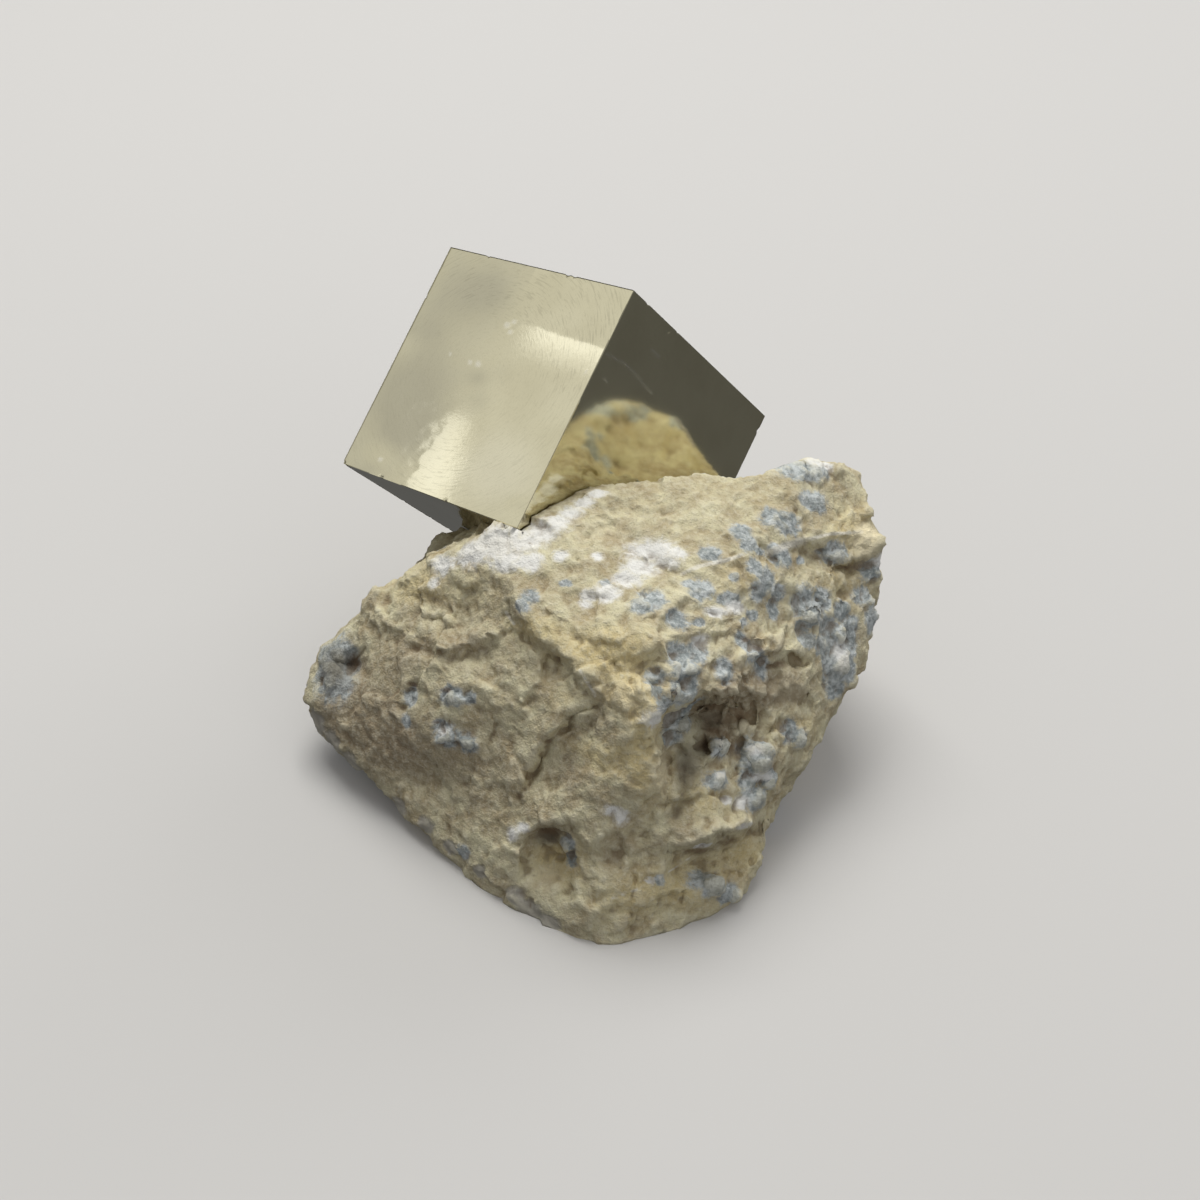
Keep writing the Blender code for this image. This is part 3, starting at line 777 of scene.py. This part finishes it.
# Knobbly places, where the break stands out in rounded knobs: place, half sizes and share
RUGGED_PLACES = [
    (735, 715, 50, 48, 1.5), (680, 720, 26, 40, 1.0), (770, 650, 40, 24, 0.8), (690, 665, 26, 30, 0.8), (835, 620, 40, 50, 1.0),
    (735, 790, 40, 22, 0.7), (550, 860, 40, 34, 1.0), (690, 890, 50, 24, 0.5), (872, 570, 16, 60, 0.8),
    (810, 465, 34, 14, 0.4), (645, 845, 40, 36, 0.5), (400, 620, 50, 30, 0.4), (330, 665, 20, 30, 0.4),
    (790, 735, 30, 24, 0.6), (640, 740, 16, 50, 0.4),
]
MOST_RUGGED = 1.6
KNOB_SIZE = 1.15
KNOB_HEIGHT = 0.2

# Groups of spots on the hidden sides, with how far a group reaches and how many spots it has
HIDDEN_GREY = 34
HIDDEN_CRUST = 9
HIDDEN_PITS = 12
HIDDEN_PALE = 3
GROUP_REACH = 3.2
GROUP_SIZES = (1, 2, 3, 5, 8)
AWAY = -0.35
HIDDEN_RUGGED = 0.7
NO_SPOT = -2.0
SUBDIVISION = 3
SOFTENING = 2
SOCKET_GAP = 0.3
CONTACT = 0.02
CAVITY_ROUNDS = 14


def packed_marl():
    """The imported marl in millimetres, merged and divided finely."""
    bm = bmesh.new()
    bm.from_mesh(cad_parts[MARL].data)
    bm.transform(Matrix.Scale(1 / MM, 4))
    bmesh.ops.remove_doubles(bm, verts=bm.verts, dist=0.001)
    bmesh.ops.subdivide_edges(bm, edges=bm.edges, cuts=SUBDIVISION, use_grid_fill=True)
    bmesh.ops.triangulate(bm, faces=bm.faces)
    return bm


def off_crystal(points):
    """Distances from the crystal's faces: over 0 outside it."""
    return np.max(np.abs(in_crystal(points)) - CRYSTAL_HALF, axis=1)


def free_share(points):
    """1 where the marl may be worked, 0 in the socket and on the base."""
    from_socket = (off_crystal(points) - SOCKET_GAP - 0.02) / 0.5
    from_base = (points[:, 2] - 0.02) / 0.5
    return held(np.minimum(from_socket, from_base))[:, None]


def soften(skin, rounds, share):
    """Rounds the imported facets, but not the socket and the base."""
    share = share * free_share(skin.points)
    for _ in range(rounds):
        middle = skin.mean_around(skin.points)
        skin.points += (middle - skin.points) * 0.5 * share


def calm_share(skin):
    """1 on the calm break faces of the front and 0 outside them."""
    facing, _ = skin.facing()
    places = in_picture(skin.points)
    share = np.zeros(len(places))
    for x, y, half_across, half_down in CALM_PLACES:
        reach = ((places[:, 0] - x) / half_across) ** 2 + ((places[:, 1] - y) / half_down) ** 2
        share = np.maximum(share, held(1.6 - reach))
    return (share * held(facing / 0.3))[:, None]


def picture_relief(places):
    """How far the front stands out at places of the picture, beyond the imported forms."""
    wander = np.array([noise.noise_vector(Vector((x, y, 3.0)) / 11.0)[:2] for x, y in places])
    bent = places + wander * 5.0
    height = np.zeros(len(places))
    for line, step, reach in LEDGES:
        offset, share = line_offsets(bent, line)
        fade = np.exp(-((offset / reach) ** 2)) * np.minimum(1.0, 5.0 * share * (1 - share) + 0.1)
        height += 0.5 * step * np.tanh(offset / LEDGE_SHARPNESS) * fade
    for line, half_width, step in GROOVES:
        offset, share = line_offsets(bent, line)
        fade = np.minimum(1.0, 6.0 * share * (1 - share) + 0.15)
        height += step * fade * np.exp(-((offset / half_width) ** 2))
    for x, y, half_across, half_down, step in DENTS:
        reach = ((bent[:, 0] - x) / half_across) ** 2 + ((bent[:, 1] - y) / half_down) ** 2
        height += step * np.exp(-1.5 * reach)
    return height


def shape_front(skin):
    """Works what the picture shows into the front, along the line of sight."""
    facing, to_eye = skin.facing()
    share = held((facing - 0.12) / 0.35)[:, None] * free_share(skin.points)
    front = share[:, 0] > 0.0
    rise = np.zeros(len(skin.points))
    rise[front] = picture_relief(in_picture(skin.points[front]))
    skin.points += to_eye * rise[:, None] * share


def chips(point, size):
    """Small tilted break faces: height from -1 to 1 or so."""
    place = point / size
    middle = noise.voronoi(place)[1][0]
    tilt = noise.cell_vector(middle * 5.1) * 2.0 - Vector((1, 1, 1))
    return tilt.dot(place - middle)


def knobs(point, size):
    """Rounded knobs side by side: height from about -0.5 to 1."""
    return 1.0 - 2.2 * noise.voronoi(point / size)[0][0]


def break_height(point):
    """Height of the marl's rough break: chips in two sizes, hackles and grain."""
    warped = point + noise.noise_vector(point / 0.8) * 0.22
    rise = 0.10 * chips(warped, 1.25) + 0.06 * chips(warped, 0.62)
    rise += 0.14 * (noise.turbulence(point / 1.4, 3, True) - 0.4)
    rise += 0.10 * noise.fractal(point / 0.45, 0.8, 2.0, 2)
    return rise


def nodules(skin):
    """Raises the rounded nodules out of the marl."""
    tree = skin.tree()
    normals = skin.normals()
    rise = np.zeros(len(skin.points))
    for x, y, radius, height in NODULES:
        hit, _, _, distance = tree.ray_cast(EYE, sight(x, y))
        if hit:
            away = np.linalg.norm(skin.points - np.array(hit), axis=1)
            reach = radius * distance / PICTURE_FOCAL
            rise = np.maximum(rise, height * held(1.0 - (away / reach) ** 2) ** 0.8)
    skin.points += normals * rise[:, None] * free_share(skin.points)


def work_surface(skin):
    """Gives the marl its fine break faces and grain."""
    facing, _ = skin.facing()
    rugged = np.minimum(patched(in_picture(skin.points), RUGGED_PLACES), MOST_RUGGED) * held(facing / 0.2)
    rugged += HIDDEN_RUGGED * held(-facing / 0.3)
    rise = np.array([break_height(Vector(point)) for point in skin.points])
    lumps = np.array([knobs(Vector(point) + noise.noise_vector(Vector(point)) * 0.25, KNOB_SIZE)
                      for point in skin.points])
    rise += rugged * (0.35 * rise + KNOB_HEIGHT * lumps)
    skin.points += skin.normals() * rise[:, None] * free_share(skin.points)


def close_socket(skin):
    """Brings the marl up to the crystal where its socket holds it."""
    places = in_crystal(skin.points)
    over = np.abs(places) - CRYSTAL_HALF
    for index in np.flatnonzero(np.max(over, axis=1) < SOCKET_GAP + 0.03):
        axis = int(np.argmax(over[index]))
        side = 1 if places[index, axis] > 0 else -1
        places[index, axis] = side * (CRYSTAL_HALF[axis] + CONTACT)
        skin.points[index] = from_crystal(places[index])


def cavities(skin):
    """How far each point lies under the surface around it, in millimetres."""
    smooth = skin.points
    for _ in range(CAVITY_ROUNDS):
        smooth = (smooth + skin.mean_around(smooth)) / 2
    return np.sum((smooth - skin.points) * skin.normals(), axis=1)


def spot_at(hit, half_across, half_down, reach):
    """A rounded spot on the marl: its middle and half sizes right, up and forward."""
    unit = reach / PICTURE_FOCAL
    return hit, (half_across * unit, half_down * unit, max(half_across, half_down) * unit)


def spots_on(tree, spots):
    """Spots of the picture as places on the marl, with half sizes in millimetres."""
    found = []
    for x, y, half_across, half_down in spots:
        hit, _, _, distance = tree.ray_cast(EYE, sight(x, y))
        if hit:
            found.append(spot_at(hit, half_across, half_down, distance))
    return found


def mirrored_spots(tree, spots):
    """Spots seen in the crystal's right face, as places on the marl."""
    found = []
    for x, y, half_across, half_down in spots:
        start, ray = mirrored(x, y, *RIGHT_FACE)
        hit, _, _, distance = tree.ray_cast(start + ray * 0.1, ray)
        if hit:
            found.append(spot_at(hit, half_across, half_down, (start - EYE).length + distance))
    return found


def hidden_spots(skin, away, count, seed, smallest, largest):
    """Seeded groups of spots on the sides that the picture doesn't show."""
    draw = random.Random(seed)
    turned = np.flatnonzero(away & (skin.points[:, 2] > 0.3))
    spots = []
    for _ in range(count):
        middle = skin.points[draw.choice(turned)]
        near = turned[np.linalg.norm(skin.points[turned] - middle, axis=1) < GROUP_REACH]
        for _ in range(draw.choice(GROUP_SIZES)):
            radius = smallest + (largest - smallest) * draw.random() ** 2
            stretch = (draw.uniform(0.7, 1.6), draw.uniform(0.7, 1.2), draw.uniform(0.7, 1.6))
            place = skin.points[draw.choice(near)]
            spots.append((place, tuple(radius * share for share in stretch)))
    return spots


def spread(skin, spots):
    """How deep inside a spot each point lies: 1 at its middle, 0 at its rim, -2 far off."""
    axes = np.array([RIGHT, UP, FORWARD]).T
    depth = np.full(len(skin.points), NO_SPOT)
    for middle, halves in spots:
        away = (skin.points - np.array(middle)) @ axes / np.array(halves)
        depth = np.maximum(depth, 1.0 - np.linalg.norm(away, axis=1))
    return depth


def tinted(places, facing):
    """Ochre above 0, and brown below it that is mostly painted shade, where the picture shows them."""
    return np.where(facing > 0.0, patched(places, TINTS_AND_PAINTED_SHADE), WEATHERED) * held(np.abs(facing) / 0.15)


def veined(places, facing):
    """How near each point is to the middle of a vein: 1 there, 0 at its side."""
    best = np.full(len(places), -1.0)
    for line, half_width in VEINS:
        offset, _ = line_offsets(places, line)
        best = np.maximum(best, 1.0 - np.abs(offset) / half_width)
    return np.where(facing > 0.0, best, -1.0)


def marl_finish():
    """Dull granular marl: pale tan, mottled blue-grey, with a white crust and brown pits, and painted shade and
    painted light in hollows, recesses, under ledges and on raised places.
    """
    finish = Finish("marl")
    broad = finish.grain(5.0, 3.0, 0.55)
    patchy = finish.grain(1.5, 4.0, 0.62)
    fine = finish.grain(0.32, 3.0, 0.65)
    speck = finish.grain(0.14, 2.0, 0.6)
    ragged = finish.grain(0.7, 4.0, 0.7, distortion=0.6)
    tint_and_painted_shade = finish.worked("tint_and_painted_shade")
    cavity = finish.worked("cavity")

    tan = finish.mix(patchy.clear(0.32, 0.68), (0.47, 0.39, 0.245), (0.725, 0.675, 0.46))
    warm = (tint_and_painted_shade + (broad - 0.5) * 1.2).clear(0.0, 1.0)
    tan = finish.mix(warm * 0.8, tan, (0.72, 0.59, 0.305))
    # Painted shade: brown where the tints are below 0, on the shaded left front, in recesses and under ledges,
    # with some brown of the marl's own.
    tone_and_painted_light = (0.0 - tint_and_painted_shade + (broad - 0.5) * 0.8).clear(0.05, 1.0)
    tan = finish.mix(tone_and_painted_light * 0.8, tan, (0.33, 0.26, 0.175))
    tan = finish.mix(fine.clear(0.42, 0.72) * 0.4, tan, (0.82, 0.78, 0.62))
    tan = finish.mix(speck.clear(0.53, 0.75) * 0.35, tan, (0.34, 0.27, 0.165))

    pale_share = (finish.worked("pale") + (ragged - 0.5) * 0.8).clear(-0.1, 0.35)
    surface = finish.mix(pale_share * 0.8, tan, (0.43, 0.41, 0.37))

    grey_depth = finish.worked("grey") + (ragged - 0.5) * 2.0
    frost = (fine * 0.55 + patchy * 0.45).clear(0.40, 0.62)
    grey = finish.mix(frost, (0.25, 0.29, 0.305), (0.62, 0.665, 0.68))
    surface = finish.mix(grey_depth.clear(-0.8, -0.1) * 0.3, surface, (0.66, 0.66, 0.62))
    surface = finish.mix(grey_depth.clear(-0.45, 0.1) * 0.9, surface, grey)

    crust_share = (finish.worked("crust") + (ragged - 0.5) * 2.2).clear(-0.65, 0.4)
    surface = finish.mix(crust_share * 0.92, surface, (0.91, 0.905, 0.875))
    vein_share = (finish.worked("vein") + (ragged - 0.5) * 1.6).clear(-0.5, 0.7)
    surface = finish.mix(vein_share * 0.75, surface, (0.88, 0.85, 0.76))
    # Painted shade: dark brown in the mesh's hollows; painted light: paler on its raised points.
    surface = finish.mix(cavity.clear(0.015, 0.17) * 0.6, surface, (0.22, 0.155, 0.09))
    surface = finish.mix((0.0 - cavity).clear(0.02, 0.17) * 0.35, surface, (0.85, 0.80, 0.61))
    # Painted shade in recesses and beside overhangs, and painted light on lit knobs, rims and slopes.
    dim = finish.worked("dim")
    surface = finish.mix(dim.clear(0.0, 1.0) * 0.75, surface, (0.12, 0.105, 0.08))
    surface = finish.mix((0.0 - dim).clear(0.0, 1.0) * 0.7, surface, (0.88, 0.79, 0.56))
    # Brown pits, and painted shadow under ledges and overhangs and in hollows.
    pit_and_shadow_share = (finish.worked("pit") + (ragged - 0.5) * 1.4).clear(-0.5, 0.8)
    surface = finish.mix(pit_and_shadow_share * 0.7, surface, (0.15, 0.095, 0.052))

    smooth = 1.0 - pale_share * 0.7
    height = (fine * 0.6 + speck * 0.35 + patchy * 0.4) * smooth
    finish.set(
        Base_Color=surface,
        Roughness=0.93,
        Specular_IOR_Level=0.25,
        Normal=finish.bump(height, 0.19, 1.0),
    )
    return finish.material


def make_marl():
    bm = packed_marl()
    skin = Skin(bm)
    soften(skin, SOFTENING, 1.0)
    soften(skin, CALM_ROUNDS, calm_share(skin))
    calm_facing, _ = skin.facing()
    away = calm_facing < AWAY
    shape_front(skin)
    nodules(skin)
    work_surface(skin)
    close_socket(skin)
    tree = skin.tree()
    facing, _ = skin.facing()
    seen = in_picture(skin.points)

    def marks(spots, count, seed, smallest, largest):
        seen_spots = spread(skin, spots_on(tree, spots))
        hidden = hidden_spots(skin, away, count, seed, smallest, largest)
        return np.maximum(seen_spots, behind(hidden))

    def behind(spots):
        return np.where(calm_facing < 0.0, spread(skin, spots), NO_SPOT)

    grey = marks(GREY_SPOTS, HIDDEN_GREY, 7, 0.3, 1.25)
    crust = marks(CRUST_SPOTS, HIDDEN_CRUST, 11, 0.35, 1.1)
    worked = {
        "grey": np.maximum(grey, behind(mirrored_spots(tree, MIRRORED_GREY))),
        "crust": np.maximum(crust, behind(mirrored_spots(tree, MIRRORED_CRUST))),
        "pit": marks(PITS_AND_PAINTED_SHADOW, HIDDEN_PITS, 13, 0.25, 0.5),
        "pale": marks(PALE_SPOTS, HIDDEN_PALE, 17, 0.8, 2.0),
        "vein": veined(seen, facing),
        "tint_and_painted_shade": tinted(seen, facing),
        "dim": np.clip(patched(seen, PAINTED_LIGHT_AND_SHADE_PLACES), -1, 1) * held(facing / 0.2),
        "cavity": cavities(skin),
    }
    for vert, place in zip(bm.verts, skin.points):
        vert.co = place
    return finished("marl_lump", bm, MARL, marl_finish(), worked)


# ---- floor, camera and lights

# The lamps that the bright face mirrors: the middle and the size of each one's image in the
# picture, its turn there in degrees, and its brightness
STREAK_LAMP = (429, 475, 50, 128, -15.5, 0.57)
BAND_LAMP = (588, 344, 104, 24, -17.5, 0.36)
GLOW_LAMP = (588, 352, 130, 44, -17.5, 0.26)
LAMP_DISTANCE = 300.0
BOX_BRIGHTNESS = 0.48


def make_floor():
    bm = bmesh.new()
    bmesh.ops.create_grid(bm, x_segments=1, y_segments=1, size=3.0)
    mesh = bpy.data.meshes.new("floor")
    bm.to_mesh(mesh)
    bm.free()
    floor = bpy.data.objects.new("floor", mesh)
    bpy.context.scene.collection.objects.link(floor)
    finish = Finish("floor")
    finish.set(Base_Color=(0.62, 0.61, 0.60), Roughness=0.8)
    mesh.materials.append(finish.material)
    floor.visible_glossy = False
    floor.visible_diffuse = False


def make_camera():
    camera = bpy.data.objects.new("camera", bpy.data.cameras.new("camera"))
    bpy.context.scene.collection.objects.link(camera)
    camera.data.sensor_width = SENSOR
    camera.data.lens = SENSOR * PICTURE_FOCAL / PICTURE
    camera.data.clip_start = 0.005
    camera.data.clip_end = 10.0
    turn = Matrix((RIGHT, UP, -FORWARD)).transposed().to_4x4()
    camera.matrix_world = Matrix.Translation(EYE * MM) @ turn
    bpy.context.scene.camera = camera


def area_light(name, place, turn, across, down, brightness, colour=(1.0, 1.0, 1.0)):
    """A flat light of even brightness, hidden from the camera. Lengths are metres."""
    light = bpy.data.objects.new(name, bpy.data.lights.new(name, "AREA"))
    bpy.context.scene.collection.objects.link(light)
    light.data.shape = "RECTANGLE"
    light.data.size = across
    light.data.size_y = down
    light.data.energy = brightness * math.pi * across * down
    light.data.color = colour
    light.matrix_world = Matrix.Translation(place) @ turn
    light.visible_camera = False
    return light


def softbox(name, toward, distance, size, brightness, colour=(1.0, 1.0, 1.0)):
    """A square light that far off the crystal in a direction, turned to it."""
    toward = Vector(toward).normalized()
    turn = toward.to_track_quat("Z", "Y").to_matrix().to_4x4()
    place = CRYSTAL_CENTRE * MM + toward * distance
    return area_light(name, place, turn, size, size, brightness, colour)


def mirrored_lamp(name, x, y, across, down, turned, brightness):
    """A small lamp that the bright face mirrors to a place of the picture."""
    middle, ray = mirrored(x, y, *BRIGHT_FACE)
    _, aside = mirrored(x + 1, y, *BRIGHT_FACE)
    right = aside - ray
    right = (right - ray * right.dot(ray)).normalized()
    _, below = mirrored(x, y + 1, *BRIGHT_FACE)
    fall = (below - ray) - ray * (below - ray).dot(ray)
    fall = (fall - right * fall.dot(right)).normalized()
    angle = math.radians(turned)
    wide = right * math.cos(angle) - fall * math.sin(angle)
    long = right * math.sin(angle) + fall * math.cos(angle)
    facing = wide.cross(long)
    if facing.dot(ray) < 0:
        long = -long
        facing = -facing
    turn = Matrix((wide, long, facing)).transposed().to_4x4()
    reach = (middle - EYE).length + LAMP_DISTANCE
    unit = reach / PICTURE_FOCAL * MM
    place = (middle + ray * LAMP_DISTANCE) * MM
    area_light(name, place, turn, across * unit, down * unit, brightness, (0.96, 0.99, 1.12))


def make_lights():
    _, left = mirrored(490, 385, *BRIGHT_FACE)
    mirrored_box = softbox("mirrored_box", left, 0.5, 0.42, BOX_BRIGHTNESS, (1.0, 0.995, 0.97))
    mirrored_box.visible_diffuse = False
    top_box = softbox("top_box", (-0.15, 0.35, 1.0), 0.45, 0.28, 6.3, (1.0, 0.99, 0.95))
    back_box = softbox("back_box", (0.7, 0.9, 0.55), 0.6, 0.4, 1.7)
    fill_box = softbox("fill_box", (0.6, -0.8, 0.3), 0.5, 0.4, 0.5)
    for box in (top_box, back_box, fill_box):
        box.visible_glossy = False
    mirrored_lamp("streak_lamp", *STREAK_LAMP)
    mirrored_lamp("band_lamp", *BAND_LAMP)
    mirrored_lamp("glow_lamp", *GLOW_LAMP)


def make_world():
    """A grey room: lighter above, dark below the table's edge."""
    world = bpy.data.worlds.new("room")
    bpy.context.scene.world = world
    world.use_nodes = True
    nodes = world.node_tree.nodes
    links = world.node_tree.links
    coordinates = nodes.new("ShaderNodeTexCoord")
    parts = nodes.new("ShaderNodeSeparateXYZ")
    ramp = nodes.new("ShaderNodeValToRGB")
    links.new(coordinates.outputs["Generated"], parts.inputs[0])
    rise = nodes.new("ShaderNodeMapRange")
    rise.inputs["From Min"].default_value = -1.0
    links.new(parts.outputs["Z"], rise.inputs["Value"])
    links.new(rise.outputs[0], ramp.inputs["Fac"])
    stops = [(0.0, 0.10), (0.49, 0.12), (0.53, 0.20), (0.75, 0.34), (1.0, 0.42)]
    elements = ramp.color_ramp.elements
    while len(elements) < len(stops):
        elements.new(1.0)
    for element, (position, grey) in zip(elements, stops):
        element.position = position
        element.color = (grey, grey, grey, 1.0)
    links.new(ramp.outputs["Color"], nodes["Background"].inputs["Color"])


make_marl()
make_crystal()
make_floor()
make_camera()
make_lights()
make_world()
bpy.context.scene.view_settings.view_transform = "Standard"
